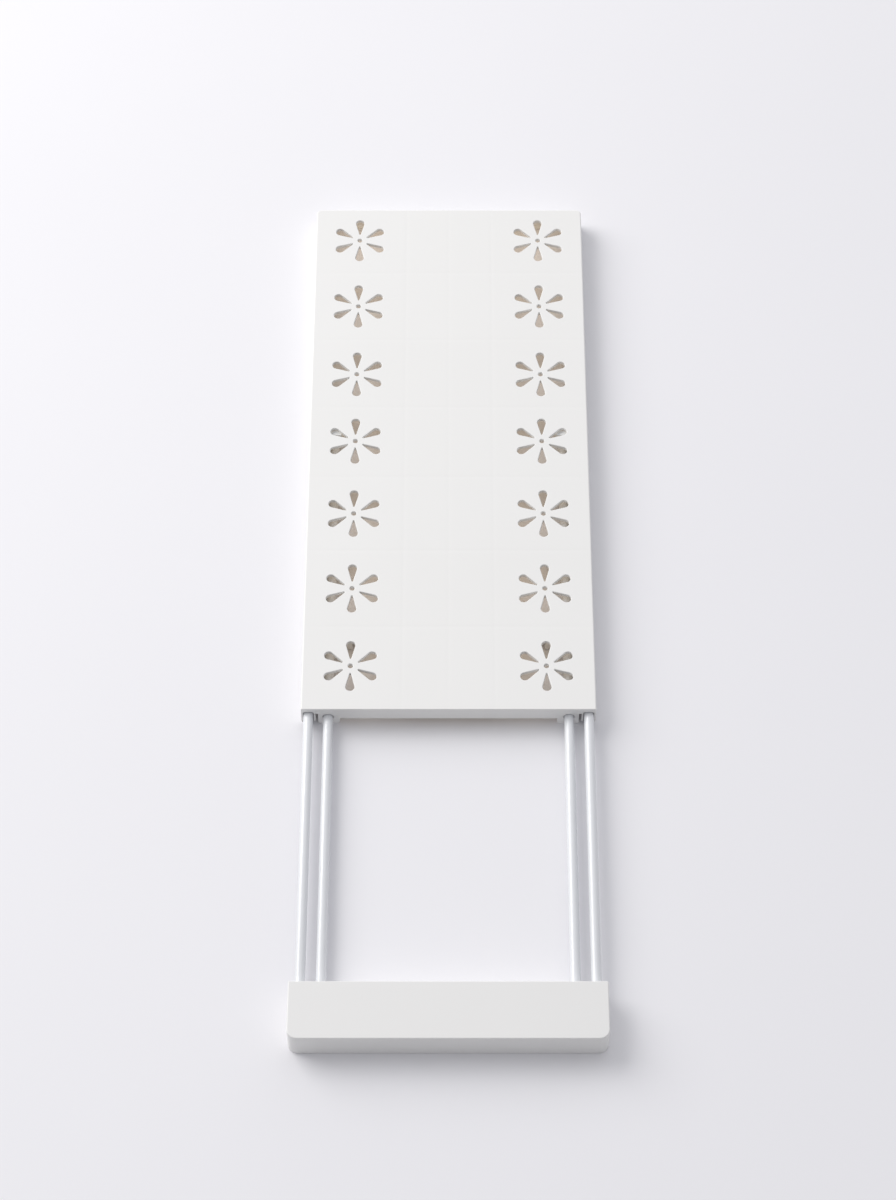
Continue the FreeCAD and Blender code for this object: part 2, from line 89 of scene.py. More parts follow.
card_reach = 4.5
card_mesh = bpy.data.meshes.new("card_sheet")
card_corners = [(-card_reach, -card_reach, 0), (card_reach, -card_reach, 0),
                (card_reach, card_reach, 0), (-card_reach, card_reach, 0)]
card_mesh.from_pydata(card_corners, [], [(0, 1, 2, 3)])
card_mesh.materials.append(card_material())
card_sheet = bpy.data.objects.new("card_sheet", card_mesh)
bpy.context.scene.collection.objects.link(card_sheet)

# The room is brighter on the far side than behind the camera: its level is a slope times Y plus a middle.
room_slope = 0.34
room_middle = 0.63
room = bpy.data.worlds.new("pale_room")
room.use_nodes = True
room_tree = room.node_tree
room_way = node(room_tree, "SeparateXYZ", {0: node(room_tree, "TexCoord").outputs["Generated"]})
room_level = node(
    room_tree, "Math", {0: room_way.outputs["Y"], 1: room_slope, 2: room_middle}, operation="MULTIPLY_ADD",
)
room_air = room_tree.nodes["Background"]
room_air.inputs["Color"].default_value = (0.965, 0.97, 1.0, 1)
room_tree.links.new(room_level.outputs[0], room_air.inputs["Strength"])
bpy.context.scene.world = room

window = bpy.data.lights.new("window", "AREA")
window.shape = "SQUARE"
window.size = 3.0
window.energy = 113.0
window.color = (1.0, 0.985, 0.965)
window_lamp = bpy.data.objects.new("window_lamp", window)
window_lamp.location = (-2.6, 1.7, 2.3)
window_lamp.rotation_euler = (-window_lamp.location).to_track_quat("-Z", "Y").to_euler()
bpy.context.scene.collection.objects.link(window_lamp)

camera_behind_far_edge = 1.9248
camera_above_board = 2.1202
camera_tilt_degrees = 35.108

board_low, board_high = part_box("shelf_board")
camera_data = bpy.data.cameras.new("camera")
camera_data.lens = 93.62
camera_data.sensor_width = 36.0
camera_data.shift_x = -0.0036
camera = bpy.data.objects.new("camera", camera_data)
camera.location = (0.0031, board_high.y - camera_behind_far_edge, board_high.z + camera_above_board)
camera.rotation_euler = (math.radians(camera_tilt_degrees), 0.0, 0.0)
bpy.context.scene.collection.objects.link(camera)
bpy.context.scene.camera = camera
bpy.context.scene.view_settings.view_transform = "Standard"


# ---------------------------------------------------------------- shelf board
# One injection moulding in white polypropylene: a 3 mm plate with skirts, a low near
# wall, ribs underneath, and two columns of flower-shaped drain holes.  The plate has
# faint sink lines over its ribs, a fine satin grain, and round pin marks underneath.
def weld(mesh, crease_degrees):
    """Joins points that lie on each other, turns every face outwards and creases the sharp edges."""
    shape = bmesh.new()
    shape.from_mesh(mesh)
    bmesh.ops.remove_doubles(shape, verts=shape.verts, dist=2e-6)
    bmesh.ops.dissolve_degenerate(shape, edges=shape.edges, dist=1e-7)
    bmesh.ops.recalc_face_normals(shape, faces=shape.faces)
    shape.to_mesh(mesh)
    shape.free()
    mesh.shade_smooth()
    mesh.set_sharp_from_angle(angle=math.radians(crease_degrees))


def place_piece(mesh, body, slot, material, *cad_nodes):
    """Makes a finished mesh a piece of the shelf that rides on a body and stands for CAD nodes."""
    mesh.materials.append(material)
    piece = bpy.data.objects.new(mesh.name, mesh)
    bpy.context.scene.collection.objects.link(piece)
    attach(piece, body)
    if cad_nodes:
        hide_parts(*cad_nodes)
    return piece


crease_degrees_of_mouldings = 32


def moulding(name, cad_node):
    """A moulded part's skin: the CAD part's triangles as one welded mesh with creased edges."""
    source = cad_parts[cad_node].data
    points = np.empty(len(source.vertices) * 3)
    corners = np.empty(len(source.loops), dtype=np.int32)
    source.vertices.foreach_get("co", points)
    source.loops.foreach_get("vertex_index", corners)
    mesh = bpy.data.meshes.new(name)
    mesh.from_pydata(points.reshape(-1, 3), [], corners.reshape(-1, 3))
    weld(mesh, crease_degrees_of_mouldings)
    return mesh


def even_shading(piece):
    """Lets the large flat faces set the shading, so that the rounded edges don't darken them."""
    finish = piece.modifiers.new("even_shading", "WEIGHTED_NORMAL")
    finish.keep_sharp = True
    finish.weight = 80


def effect(name, inputs, outputs):
    """An empty shader node group with float or vector inputs and outputs; returns it with its two ends."""
    group = bpy.data.node_groups.new(name, "ShaderNodeTree")
    for label, kind, start in inputs:
        socket = group.interface.new_socket(label, in_out="INPUT", socket_type="NodeSocket" + kind)
        if start is not None:
            socket.default_value = start
    for label, kind in outputs:
        group.interface.new_socket(label, in_out="OUTPUT", socket_type="NodeSocket" + kind)
    return group, group.nodes.new("NodeGroupInput"), group.nodes.new("NodeGroupOutput")


def use(tree, group, inputs):
    """A shader node group placed in a material, with its inputs set."""
    made = tree.nodes.new("ShaderNodeGroup")
    made.node_tree = group
    for label, value in inputs.items():
        if isinstance(value, bpy.types.NodeSocket):
            tree.links.new(value, made.inputs[label])
        else:
            made.inputs[label].default_value = value
    return made.outputs


def total(tree, values):
    """The sum of several values."""
    running = values[0]
    for value in values[1:]:
        running = node(tree, "Math", {0: running, 1: value}, operation="ADD").outputs[0]
    return running


def satin_grain_group():
    """Moulded plastic's surface: Height adds a fine spark-eroded grain to a slow flow ripple, in metres.
    Tone is a slow change of colour and Gloss a patchy change of roughness, both about 0.5."""
    group, start, end = effect(
        "satin_grain",
        [("Place", "Vector", None), ("Grain Depth", "Float", 4e-6), ("Ripple Depth", "Float", 2e-5)],
        [("Height", "Float"), ("Tone", "Float"), ("Gloss", "Float")],
    )
    place = start.outputs["Place"]
    grain = node(group, "TexNoise", {"Vector": place, "Scale": 2600.0, "Detail": 2.0, "Roughness": 0.6})
    ripple = node(group, "TexNoise", {"Vector": place, "Scale": 14.0, "Detail": 1.0})
    tone = node(group, "TexNoise", {"Vector": place, "Scale": 9.0, "Detail": 4.0, "Roughness": 0.55})
    gloss = node(group, "TexNoise", {"Vector": place, "Scale": 42.0, "Detail": 5.0, "Roughness": 0.65})
    fine = node(group, "Math", {0: grain.outputs["Fac"], 1: start.outputs["Grain Depth"]}, operation="MULTIPLY")
    slow = node(
        group, "Math", {0: ripple.outputs["Fac"], 1: start.outputs["Ripple Depth"], 2: fine.outputs[0]},
        operation="MULTIPLY_ADD",
    )
    group.links.new(slow.outputs[0], end.inputs["Height"])
    group.links.new(tone.outputs["Fac"], end.inputs["Tone"])
    group.links.new(gloss.outputs["Fac"], end.inputs["Gloss"])
    return group


def edge_rub_group():
    """Where a sharp edge is rubbed smooth: one minus the cosine between the face's own way and the way
    averaged over a small radius, broken up by noise.  Edge is 0 on flats and about 1 on rubbed edges."""
    group, start, end = effect(
        "edge_rub", [("Place", "Vector", None), ("Radius", "Float", 0.0008)], [("Edge", "Float")],
    )
    rounded = node(group, "Bevel", {"Radius": start.outputs["Radius"]}, samples=4)
    straight = node(group, "NewGeometry").outputs["Normal"]
    match = node(group, "VectorMath", {0: rounded.outputs[0], 1: straight}, operation="DOT_PRODUCT")
    turn = node(group, "Math", {0: 1.0, 1: match.outputs["Value"]}, operation="SUBTRACT")
    broken = node(group, "TexNoise", {"Vector": start.outputs["Place"], "Scale": 260.0, "Detail": 3.0})
    rub = node(group, "Math", {0: turn.outputs[0], 1: broken.outputs["Fac"]}, operation="MULTIPLY")
    strong = node(group, "Math", {0: rub.outputs[0], 1: 7.0}, operation="MULTIPLY", use_clamp=True)
    group.links.new(strong.outputs[0], end.inputs["Edge"])
    return group


def sink_line_group():
    """The faint hollow over a rib: a bell curve of the distance from the rib's middle line."""
    group, start, end = effect(
        "sink_line", [("Across", "Float", 0.0), ("Rib", "Float", 0.0), ("Width", "Float", 0.002)],
        [("Hollow", "Float")],
    )
    away = node(group, "Math", {0: start.outputs["Across"], 1: start.outputs["Rib"]}, operation="SUBTRACT")
    share = node(group, "Math", {0: away.outputs[0], 1: start.outputs["Width"]}, operation="DIVIDE")
    square = node(group, "Math", {0: share.outputs[0], 1: share.outputs[0]}, operation="MULTIPLY")
    fall = node(group, "Math", {0: square.outputs[0], 1: -1.0}, operation="MULTIPLY")
    bell = node(group, "Math", {0: fall.outputs[0]}, operation="EXPONENT")
    group.links.new(bell.outputs[0], end.inputs["Hollow"])
    return group


satin_grain = satin_grain_group()
edge_rub = edge_rub_group()
sink_line = sink_line_group()


def white_plastic(name, colour, shade, roughness, grain_depth, extra_height=None, glow=None):
    """Moulded white plastic.  extra_height(tree, place) gives one more height, in metres, such as sink
    lines, and glow(tree, place) the colour of a painted glow: emission that stands in for the light
    that comes through where the wall is thin."""
    plastic = bpy.data.materials.new(name)
    plastic.use_nodes = True
    tree = plastic.node_tree
    place = node(tree, "TexCoord").outputs["Object"]
    skin = use(tree, satin_grain, {"Place": place, "Grain Depth": grain_depth, "Ripple Depth": 1.6e-5})
    edge = use(tree, edge_rub, {"Place": place, "Radius": 0.0007})["Edge"]
    height = skin["Height"]
    if extra_height:
        height = total(tree, [height, extra_height(tree, place)])
    bump = node(tree, "Bump", {"Height": height, "Distance": 1.0, "Strength": 1.0})
    tone = node(tree, "Mix", {0: skin["Tone"]}, data_type="RGBA")
    tone.inputs["A"].default_value = (*shade, 1)
    tone.inputs["B"].default_value = (*colour, 1)
    bright = tuple(min(1.0, part * 1.04) for part in colour)
    rubbed = node(tree, "Mix", {0: edge, "A": tone.outputs["Result"]}, data_type="RGBA")
    rubbed.inputs["B"].default_value = (*bright, 1)
    rough = node(
        tree, "MapRange",
        {"Value": skin["Gloss"], "To Min": roughness - 0.07, "To Max": roughness + 0.09},
    )
    smooth = node(
        tree, "Math", {0: edge, 1: -0.12, 2: rough.outputs["Result"]}, operation="MULTIPLY_ADD",
    )
    shader = tree.nodes["Principled BSDF"]
    tree.links.new(rubbed.outputs["Result"], shader.inputs["Base Color"])
    tree.links.new(smooth.outputs[0], shader.inputs["Roughness"])
    tree.links.new(bump.outputs["Normal"], shader.inputs["Normal"])
    shader.inputs["IOR"].default_value = 1.49
    # Painted glow: emission that stands in for light coming through thin walls; it is no lamp.
    if glow:
        tree.links.new(glow(tree, place), shader.inputs["Emission Color"])
        shader.inputs["Emission Strength"].default_value = 1.0
        plastic.cycles.emission_sampling = "NONE"
    return plastic


flower_rows = 7
far_group_rows = 3
far_flower_margin = 0.0372
near_flower_margin = 0.0424
group_closing = 0.0036
rib_x = (-0.038, 0.0, 0.038)
sink_width = 0.0016
sink_depth = 4.5e-5
pin_pitch = 0.0765
pin_radius = 0.003
pin_line = 0.00025
pin_depth = 6e-5

flower_span = board_high.y - board_low.y - far_flower_margin - near_flower_margin
flower_pitch = (flower_span + group_closing) / (flower_rows - 1)
row_y = board_high.y - far_flower_margin - flower_pitch * np.arange(flower_rows)
row_y[far_group_rows:] += group_closing
cross_rib_y = (row_y[1:] + row_y[:-1]) / 2


def board_marks(tree, place):
    """Sink lines over the ribs on the plate's upper face, and pin rings on its lower face."""
    way = node(tree, "SeparateXYZ", {0: place})
    facing = node(tree, "SeparateXYZ", {0: node(tree, "TexCoord").outputs["Normal"]})
    lines = [
        use(tree, sink_line, {"Across": way.outputs["X"], "Rib": x, "Width": sink_width})["Hollow"]
        for x in rib_x
    ]
    lines += [
        use(tree, sink_line, {"Across": way.outputs["Y"], "Rib": float(y), "Width": sink_width})["Hollow"]
        for y in cross_rib_y
    ]
    hollow = total(tree, lines)
    top = node(tree, "Math", {0: facing.outputs["Z"], 1: 0.9}, operation="GREATER_THAN")
    sink = node(tree, "Math", {0: hollow, 1: top.outputs[0]}, operation="MULTIPLY")
    sunk = node(tree, "Math", {0: sink.outputs[0], 1: -sink_depth}, operation="MULTIPLY")
    cell = node(tree, "VectorMath", {0: place, 1: (pin_pitch, pin_pitch, 1.0)}, operation="SNAP")
    inside = node(tree, "VectorMath", {0: place, 1: cell.outputs[0]}, operation="SUBTRACT")
    shift = (-pin_pitch / 4, -pin_pitch / 4, 0.0)
    middle = node(tree, "VectorMath", {0: inside.outputs[0], 1: shift}, operation="ADD")
    level = node(tree, "VectorMath", {0: middle.outputs[0], 1: (1.0, 1.0, 0.0)}, operation="MULTIPLY")
    spread = node(tree, "VectorMath", {0: level.outputs[0]}, operation="LENGTH")
    ring = use(tree, sink_line, {"Across": spread.outputs["Value"], "Rib": pin_radius, "Width": pin_line})
    below = node(tree, "Math", {0: facing.outputs["Z"], 1: -0.9}, operation="LESS_THAN")
    pin = node(tree, "Math", {0: ring["Hollow"], 1: below.outputs[0]}, operation="MULTIPLY")
    both = node(tree, "Math", {0: pin.outputs[0], 1: pin_depth, 2: sunk.outputs[0]}, operation="MULTIPLY_ADD")
    return both.outputs[0]


# Painted glow under the plate: an emission colour and levels that stand in for light through the plate, with
# painted shade towards the near wall.
painted_through_light = (0.29, 0.238, 0.178)
glow_fade_length = 0.045
far_glow_length = 0.16
plate_thickness = 0.003
plate_underside = board_high.z - plate_thickness
glow_depth = 0.001
near_glow = 0.15
far_glow = 1.5


def painted_board_glow(tree, place):
    """Painted glow: a warm emission colour on the plate's lower face only, a little uneven, that stands in
    for the light coming down through the plate.  It fades towards the near wall as painted shade, for
    the wall's shadow on the plate there, and grows towards the far wall as painted light."""
    facing = node(tree, "SeparateXYZ", {0: node(tree, "TexCoord").outputs["Normal"]})
    below = node(tree, "Math", {0: facing.outputs["Z"], 1: -0.5}, operation="LESS_THAN")
    height = node(tree, "SeparateXYZ", {0: place})
    under_plate = node(
        tree, "Math", {0: height.outputs["Z"], 1: plate_underside - glow_depth}, operation="GREATER_THAN",
    )
    lit = node(tree, "Math", {0: below.outputs[0], 1: under_plate.outputs[0]}, operation="MULTIPLY")
    patchy = node(tree, "TexNoise", {"Vector": place, "Scale": 16.0, "Detail": 2.0})
    level = node(tree, "MapRange", {"Value": patchy.outputs["Fac"], "To Min": 0.9, "To Max": 1.1})
    # Painted shade for the near wall's shadow, then painted light growing towards the far wall.
    fade = node(
        tree, "MapRange",
        {"Value": height.outputs["Y"], "From Min": board_low.y, "From Max": board_low.y + glow_fade_length,
         "To Min": near_glow},
    )
    grow = node(
        tree, "MapRange",
        {"Value": height.outputs["Y"], "From Min": board_high.y - far_glow_length, "From Max": board_high.y,
         "To Min": 1.0, "To Max": far_glow},
    )
    share = lit.outputs[0]
    for part in (level, fade, grow):
        share = node(tree, "Math", {0: share, 1: part.outputs["Result"]}, operation="MULTIPLY").outputs[0]
    colour = node(tree, "VectorMath", {0: painted_through_light, "Scale": share}, operation="SCALE")
    return colour.outputs["Vector"]


board_plastic = white_plastic(
    "board_plastic", (0.855, 0.85, 0.838), (0.835, 0.83, 0.815), 0.44, 4e-6, board_marks, painted_board_glow,
)
shelf_top = place_piece(
    moulding("shelf_board_skin", "shelf_board"), "board", "board_plastic", board_plastic, "shelf_board",
)
even_shading(shelf_top)


# ---------------------------------------------------------------- rods
# Four straight steel tubes of 8 mm, white powder-enamelled, one outer and one inner on
# each side.  Their cut ends are rolled smooth before coating; the coat has a slight
# orange peel and, along its sides, fine dull lines where the guides rub it.
rod_wall = 0.0008
ring_points = 72


def skin(name, grid, crease_degrees=40):
    """A closed surface from a grid of points: neighbours in both ways are joined by four-sided faces,
    and edges of the grid that lie on each other are welded."""
    rows, columns = grid.shape[:2]
    number = np.arange(rows * columns).reshape(rows, columns)
    faces = np.stack(
        [number[:-1, :-1], number[1:, :-1], number[1:, 1:], number[:-1, 1:]], axis=-1,
    ).reshape(-1, 4)
    mesh = bpy.data.meshes.new(name)
    mesh.from_pydata(grid.reshape(-1, 3), [], faces)
    weld(mesh, crease_degrees)
    return mesh


def rod_tube(name, cad_node):
    """Tube: a profile of two parallel lines joined by a half circle at each end, turned about the rod's
    own line.  Each point is the line's point plus radius times (cos, 0, sin) of the angle round it."""
    low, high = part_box(cad_node)
    radius = (high.x - low.x) / 2
    lip = rod_wall / 2
    bend = np.linspace(0, math.pi, 7)
    middle = radius - lip
    near = np.stack([middle + lip * np.cos(bend), low.y + lip - lip * np.sin(bend)], axis=1)
    far = np.stack([middle - lip * np.cos(bend), high.y - lip + lip * np.sin(bend)], axis=1)
    profile = np.concatenate([near, far, near[:1]])
    angle = np.linspace(0, 2 * math.pi, ring_points + 1)
    across = profile[:, 0][:, None]
    x = (low.x + high.x) / 2 + across * np.cos(angle)
    z = (low.z + high.z) / 2 + across * np.sin(angle)
    y = np.broadcast_to(profile[:, 1][:, None], x.shape)
    return skin(name, np.stack([x, y, z], axis=-1))


def enamel_material():
    """White gloss coating: clear top, slight orange peel, dull hairlines drawn out along the rod."""
    enamel = bpy.data.materials.new("rod_enamel")
    enamel.use_nodes = True
    tree = enamel.node_tree
    place = node(tree, "TexCoord").outputs["Object"]
    peel = node(tree, "TexNoise", {"Vector": place, "Scale": 420.0, "Detail": 1.5})
    drawn = node(tree, "Mapping", {"Vector": place, "Scale": (1600.0, 9.0, 1600.0)})
    lines = node(tree, "TexNoise", {"Vector": drawn.outputs[0], "Scale": 1.0, "Detail": 3.0, "Roughness": 0.7})
    marks = node(tree, "MapRange", {"Value": lines.outputs["Fac"], "From Min": 0.56, "From Max": 0.74})
    tone = node(tree, "Mix", {0: marks.outputs["Result"]}, data_type="RGBA")
    tone.inputs["A"].default_value = (0.77, 0.785, 0.81, 1)
    tone.inputs["B"].default_value = (0.73, 0.74, 0.765, 1)
    rough = node(tree, "MapRange", {"Value": marks.outputs["Result"], "To Min": 0.13, "To Max": 0.27})
    height = node(
        tree, "Math", {0: marks.outputs["Result"], 1: -0.25, 2: peel.outputs["Fac"]},
        operation="MULTIPLY_ADD",
    )
    bump = node(tree, "Bump", {"Height": height.outputs[0], "Distance": 1.2e-5, "Strength": 1.0})
    shader = tree.nodes["Principled BSDF"]
    tree.links.new(tone.outputs["Result"], shader.inputs["Base Color"])
    tree.links.new(rough.outputs["Result"], shader.inputs["Roughness"])
    tree.links.new(bump.outputs["Normal"], shader.inputs["Normal"])
    shader.inputs["IOR"].default_value = 1.52
    shader.inputs["Coat Weight"].default_value = 0.25
    shader.inputs["Coat Roughness"].default_value = 0.06
    return enamel


rod_enamel = enamel_material()
for side in ("left", "right"):
    for row in ("outer", "inner"):
        rod_name = f"{side}_{row}_rod"
        place_piece(rod_tube(rod_name + "_tube", rod_name), "slider", "rod_enamel", rod_enamel, rod_name)


# ---------------------------------------------------------------- rod stops and guide saddles
# Slippery off-white plastic.  A stop is plugged into each rod's inner end; a saddle under
# each pair of rods is screwed to posts in the board.  Both have small moulded roundings
# on every edge and light rub lines along the way they slide.
guide_rounding = 0.0003


def rounded_moulding(name, cad_node):
    """A small moulding: flat areas made whole again after welding, so that every edge takes a rounding."""
    mesh = moulding(name, cad_node)
    shape = bmesh.new()
    shape.from_mesh(mesh)
    bmesh.ops.dissolve_limit(shape, angle_limit=math.radians(0.4), verts=shape.verts, edges=shape.edges)
    shape.to_mesh(mesh)
    shape.free()
    mesh.set_sharp_from_angle(angle=math.radians(crease_degrees_of_mouldings))
    return mesh


def round_edges(piece, radius):
    """A two-step rounding on the creased edges."""
    rounding = piece.modifiers.new("moulded_edges", "BEVEL")
    rounding.width = radius
    rounding.segments = 2
    rounding.limit_method = "ANGLE"
    rounding.angle_limit = math.radians(crease_degrees_of_mouldings)
    rounding.harden_normals = True


def slide_rubs(tree, place):
    """Fine lines drawn out along the rods, as a height."""
    drawn = node(tree, "Mapping", {"Vector": place, "Scale": (1500.0, 30.0, 1500.0)})
    lines = node(tree, "TexNoise", {"Vector": drawn.outputs[0], "Scale": 1.0, "Detail": 3.0})
    return node(tree, "Math", {0: lines.outputs["Fac"], 1: 7e-6}, operation="MULTIPLY").outputs[0]


guide_plastic = white_plastic(
    "guide_plastic", (0.80, 0.80, 0.79), (0.76, 0.76, 0.745), 0.34, 2e-6, slide_rubs,
)
for side in ("left", "right"):
    for part, body in (("outer_rod_stop", "slider"), ("inner_rod_stop", "slider"), ("guide_saddle", "board")):
        cad_name = f"{side}_{part}"
        made = place_piece(
            rounded_moulding(cad_name + "_block", cad_name), body, "guide_plastic",
            guide_plastic, cad_name,
        )
        round_edges(made, guide_rounding)


# ---------------------------------------------------------------- self-tapping screws
# Bright zinc-plated pan-head screws with a cross recess and a coarse cut thread, driven
# upwards.  Four hold the saddles, four hold the cap's cover and four fix the rods.
screw_head_radius = 0.0027
screw_head_height = 0.0013
screw_radius = 0.00125
screw_core_radius = 0.00092
screw_pitch = 0.0011
cross_width = 0.0004
cross_reach = 0.00155
cross_depth = 0.0007
head_flat_share = 0.8
head_dome = 0.00018
screw_point_length = 0.00275


def ramp(value, low, high):
    """A smooth step from 0 below low to 1 above high."""
    share = np.clip((value - low) / (high - low), 0, 1)
    return share * share * (3 - 2 * share)


def screw_places(cad_node):
    """Middle, lowest and highest point of each screw in a CAD group, split where X has a gap."""
    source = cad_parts[cad_node].data
    points = np.empty(len(source.vertices) * 3)
    source.vertices.foreach_get("co", points)
    points = points.reshape(-1, 3)
    points = points[np.argsort(points[:, 0])]
    gaps = np.flatnonzero(np.diff(points[:, 0]) > 2 * screw_radius) + 1
    return [
        ((part.min(0) + part.max(0)) / 2, part[:, 2].min(), part[:, 2].max())
        for part in np.split(points, gaps)
    ]


def pan_head_screw(middle, low, high):
    """Screw as one turned surface.  The profile runs from the middle of the head's face, over its rim and
    down the shank to the point.  The face is sunk by the cross: depth times a ramp of half the cross's
    width less the nearer axis, times a ramp of its reach less the farther axis.  The thread adds a ridge
    whose phase is height over pitch less angle over a full turn."""
    angle = np.linspace(0, 2 * math.pi, 65)
    face = np.linspace(0, head_flat_share, 22) * screw_head_radius
    rim = np.linspace(0, math.pi / 2, 7)[1:]
    rim_round = (1 - head_flat_share) * screw_head_radius
    rim_start = head_dome * 2 / 3
    head_r = np.concatenate([
        face, head_flat_share * screw_head_radius + rim_round * np.sin(rim), [screw_head_radius, screw_radius],
    ])
    head_z = np.concatenate([
        head_dome * (face / screw_head_radius) ** 2, rim_start + rim_round * (1 - np.cos(rim)),
        [screw_head_height, screw_head_height],
    ])
    shank_z = np.linspace(screw_head_height, high - low, 90)
    point = ramp(high - low - shank_z, 0, screw_point_length)
    reach = np.concatenate([head_r, np.full(len(shank_z), screw_core_radius) * point])
    rise = np.concatenate([head_z, shank_z])
    radius = np.broadcast_to(reach[:, None], (len(reach), len(angle))).copy()
    turn = rise[:, None] / screw_pitch - angle / (2 * math.pi)
    ridge = np.clip(1 - 3 * np.abs(turn - np.round(turn)), 0, 1)
    started = ramp(rise, screw_head_height, screw_head_height + screw_pitch)
    grow = np.concatenate([np.zeros(len(head_r)), started[len(head_r):] * point])
    radius += (screw_radius - screw_core_radius) * ridge * grow[:, None]
    x = radius * np.cos(angle)
    y = radius * np.sin(angle)
    nearer = np.minimum(np.abs(x), np.abs(y))
    farther = np.maximum(np.abs(x), np.abs(y))
    cross = ramp(cross_width - nearer, -0.00012, 0.00008) * ramp(cross_reach - farther, -0.0001, 0.0003)
    on_face = (np.arange(len(reach)) < len(face))[:, None]
    z = rise[:, None] + cross_depth * cross * on_face
    return np.stack([middle[0] + x, middle[1] + y, low + z], axis=-1)


def zinc_material(name, tint):
    """Bright zinc plate: cloudy crystals in its tone, fine turned scratches in its gloss."""
    zinc = bpy.data.materials.new(name)
    zinc.use_nodes = True
    tree = zinc.node_tree
    place = node(tree, "TexCoord").outputs["Object"]
    cloud = node(tree, "TexNoise", {"Vector": place, "Scale": 700.0, "Detail": 4.0})
    scratch = node(tree, "TexNoise", {"Vector": place, "Scale": 5200.0, "Detail": 2.0})
    edge = use(tree, edge_rub, {"Place": place, "Radius": 0.0003})["Edge"]
    tone = node(tree, "Mix", {0: cloud.outputs["Fac"]}, data_type="RGBA")
    tone.inputs["A"].default_value = (*(part * 0.82 for part in tint), 1)
    tone.inputs["B"].default_value = (*tint, 1)
    bright = node(tree, "Mix", {0: edge, "A": tone.outputs["Result"]}, data_type="RGBA")
    bright.inputs["B"].default_value = (0.86, 0.86, 0.87, 1)
    rough = node(tree, "MapRange", {"Value": scratch.outputs["Fac"], "To Min": 0.2, "To Max": 0.46})
    bump = node(tree, "Bump", {"Height": scratch.outputs["Fac"], "Distance": 4e-6, "Strength": 1.0})
    shader = tree.nodes["Principled BSDF"]
    tree.links.new(bright.outputs["Result"], shader.inputs["Base Color"])
    tree.links.new(rough.outputs["Result"], shader.inputs["Roughness"])
    tree.links.new(bump.outputs["Normal"], shader.inputs["Normal"])
    shader.inputs["Metallic"].default_value = 1.0
    return zinc


screw_zinc = zinc_material("screw_zinc", (0.66, 0.67, 0.69))
for screws, body in (
    ("guide_saddle_screws", "board"), ("cap_cover_screws", "slider"), ("rod_fixing_screws", "slider"),
):
    for count, (middle, low, high) in enumerate(screw_places(screws)):
        place_piece(
            skin(f"{screws}_{count + 1}", pan_head_screw(middle, low, high)), body, "screw_steel",
            screw_zinc, screws,
        )


# ---------------------------------------------------------------- rod locks
# One on each side, between the last two rows of flowers.  A fluted plastic knob moulded on
# a threaded steel stem turns in a hexagon nut held by the board, and pushes a dark rubber
# shoe against the inner rod.
lock_pitch = 0.001
stem_radius = 0.002
stem_tip_radius = 0.0015
stem_tip_length = 0.00244
knob_length = 0.011
knob_flutes = 10
flute_radius = 0.0014
knob_rounding = 0.0009
nut_flats = 0.007
nut_bore_radius = 0.00206
nut_cone_slope = 1.6
thread_depth = 0.00034
tip_bevel = 0.0003
groove_depth = 0.0006
shoe_rounding = 0.0003


def turned_on_x(line, outward, x, radius, angle):
    """Points of a turned part on a line along X: x is counted from the line's point towards outward."""
    return np.stack([
        np.broadcast_to(line[0] + outward * x, radius.shape),
        line[1] + radius * np.cos(angle),
        line[2] + radius * np.sin(angle),
    ], axis=-1)


def knob_grip(name, line, outward, knob_radius):
    """Knob: a profile of flat ends with rounded rims and a ring groove in the outer face, turned about X.
    Near the rim the radius is the knob's less a flute: where a circle of the flute's radius, centred on
    the rim, cuts in, the radius is its near side."""
    angle = np.linspace(0, 2 * math.pi, 241)
    bend = np.linspace(0, math.pi / 2, 6)
    flat = knob_radius - knob_rounding
    groove = np.linspace(0, flat, 16)
    sunk = groove_depth * ramp(groove, 0.24 * flat, 0.34 * flat) * (1 - ramp(groove, 0.68 * flat, 0.78 * flat))
    reach = np.concatenate([
        groove, flat + knob_rounding * np.sin(bend), flat + knob_rounding * np.cos(bend), [stem_radius, 0],
    ])
    depth = np.concatenate([
        sunk, knob_rounding * (1 - np.cos(bend)), knob_length - knob_rounding * (1 - np.sin(bend)),
        [knob_length, knob_length],
    ])
    phase = (angle * knob_flutes / (2 * math.pi) + 0.5) % 1 - 0.5
    off = phase * 2 * math.pi / knob_flutes
    inside = np.clip(flute_radius ** 2 - (knob_radius * np.sin(off)) ** 2, 0, None)
    cut = knob_radius * (1 - np.cos(off)) + np.sqrt(inside)
    cut = np.where(inside > 0, cut, 0)
    near_rim = ramp(reach, 0.8 * knob_radius, knob_radius - 0.3 * knob_rounding)
    radius = reach[:, None] - near_rim[:, None] * cut
    return skin(name, turned_on_x(line, outward, depth[:, None], radius, angle), 50)


def threaded_stem(name, line, outward, start, shoulder, tip):
    """Stem: a turned rod whose radius is its core plus a ridge that winds round it once per pitch, then
    a plain turned-down tip."""
    angle = np.linspace(0, 2 * math.pi, 49)
    x = np.linspace(start, shoulder, 150)
    turn = x[:, None] / lock_pitch - angle / (2 * math.pi)
    ridge = np.clip(1.25 - 3.2 * np.abs(turn - np.round(turn)), 0, 1)
    thread = stem_radius - thread_depth * (1 - ridge)
    ends = ramp(shoulder - x, 0, 0.0005)[:, None]
    thread = stem_tip_radius + (thread - stem_tip_radius) * ends
    tip_x = np.array([shoulder, tip - tip_bevel, tip, tip])
    tip_radius = np.array([stem_tip_radius, stem_tip_radius, stem_tip_radius - tip_bevel, 0])
    x = np.concatenate([[start], x, tip_x])
    radius = np.concatenate([
        np.zeros((1, len(angle))), thread, np.broadcast_to(tip_radius[:, None], (4, len(angle))),
    ])
    return skin(name, turned_on_x(line, outward, x[:, None], radius, angle), 40)


